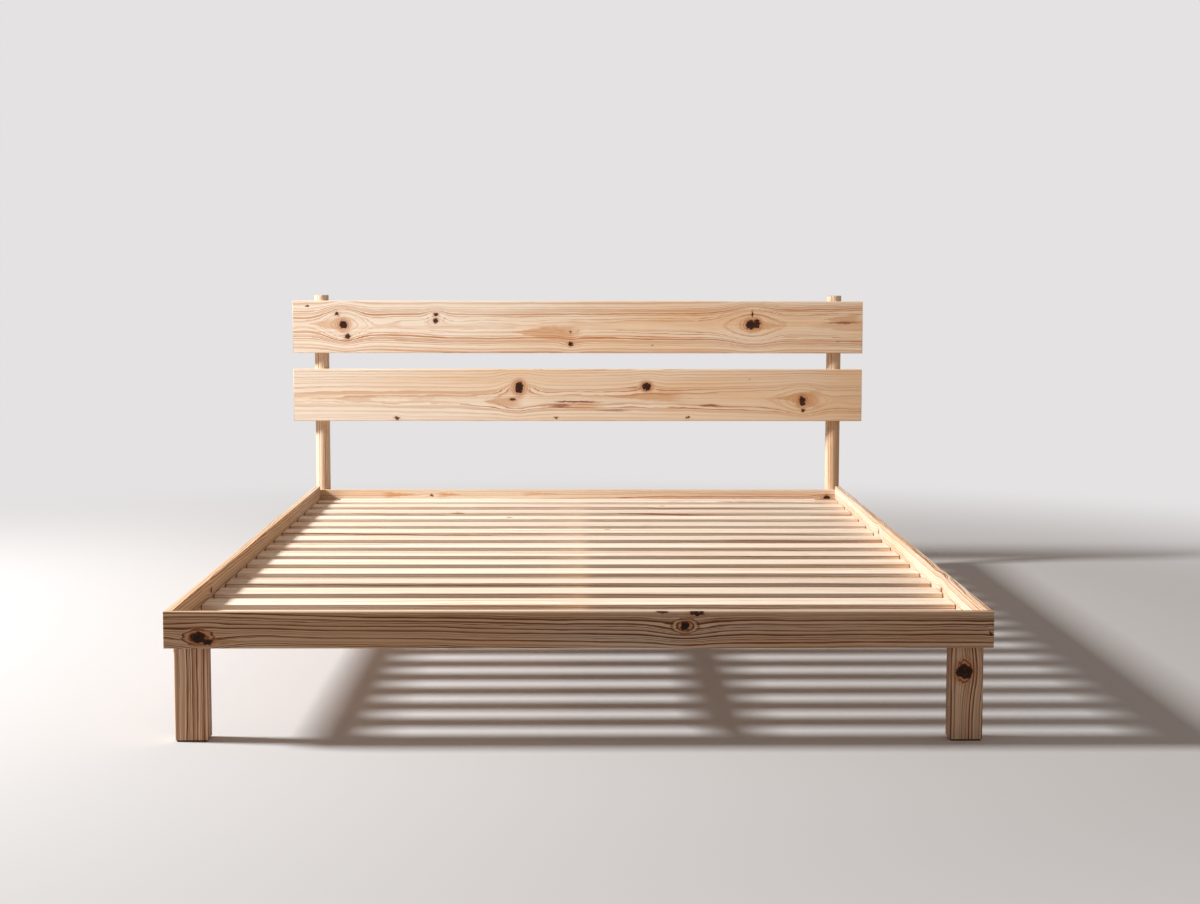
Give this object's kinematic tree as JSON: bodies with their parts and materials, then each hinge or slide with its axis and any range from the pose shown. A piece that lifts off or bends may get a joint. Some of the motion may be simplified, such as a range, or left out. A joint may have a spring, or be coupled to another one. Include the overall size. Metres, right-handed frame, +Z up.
{
  "type": "slatted bed frame",
  "caption": "Low pine platform bed frame with slatted deck, square-cut legs and a headboard of two wide planks on round posts.",
  "frame": {"origin": "on the floor, in the middle of the overall length and width", "axes": "+X to the right seen from the foot of the bed, +Y from the foot towards the headboard, +Z up"},
  "size_m": [1.524, 1.9846, 0.741],
  "materials": {
    "pine_rail": "clear matt oil on planed pine",
    "pine_leg": "clear matt oil on planed pine",
    "pine_slat": "bare planed pine",
    "pine_plank": "clear matt oil on planed knotty pine",
    "pine_post": "clear matt oil on turned pine",
    "pine_inner": "bare planed pine",
    "felt": "pressed felt",
    "zinc_steel": "bright zinc plate"
  },
  "bodies": {
    "root": {"foot_rail": "pine_rail", "head_rail": "pine_rail", "side_rail_left": "pine_rail", "ledger_left": "pine_inner", "headboard_post_left": "pine_post", "leg_front_left": "pine_leg", "leg_rear_left": "pine_leg", "side_rail_right": "pine_rail", "ledger_right": "pine_inner", "headboard_post_right": "pine_post", "leg_front_right": "pine_leg", "leg_rear_right": "pine_leg", "slat_01": "pine_slat", "slat_02": "pine_slat", "slat_03": "pine_slat", "slat_04": "pine_slat", "slat_05": "pine_slat", "slat_06": "pine_slat", "slat_07": "pine_slat", "slat_08": "pine_slat", "slat_09": "pine_slat", "slat_10": "pine_slat", "slat_11": "pine_slat", "slat_12": "pine_slat", "slat_13": "pine_slat", "slat_14": "pine_slat", "slat_15": "pine_slat", "slat_16": "pine_slat", "centre_beam": "pine_inner", "centre_leg": "pine_leg", "headboard_plank_lower": "pine_plank", "headboard_plank_upper": "pine_plank", "leg_pads": "felt", "beam_brackets": "zinc_steel", "leg_bolts_side": "zinc_steel", "leg_bolts_end": "zinc_steel", "post_bolts": "zinc_steel"}
  },
  "joints": []
}
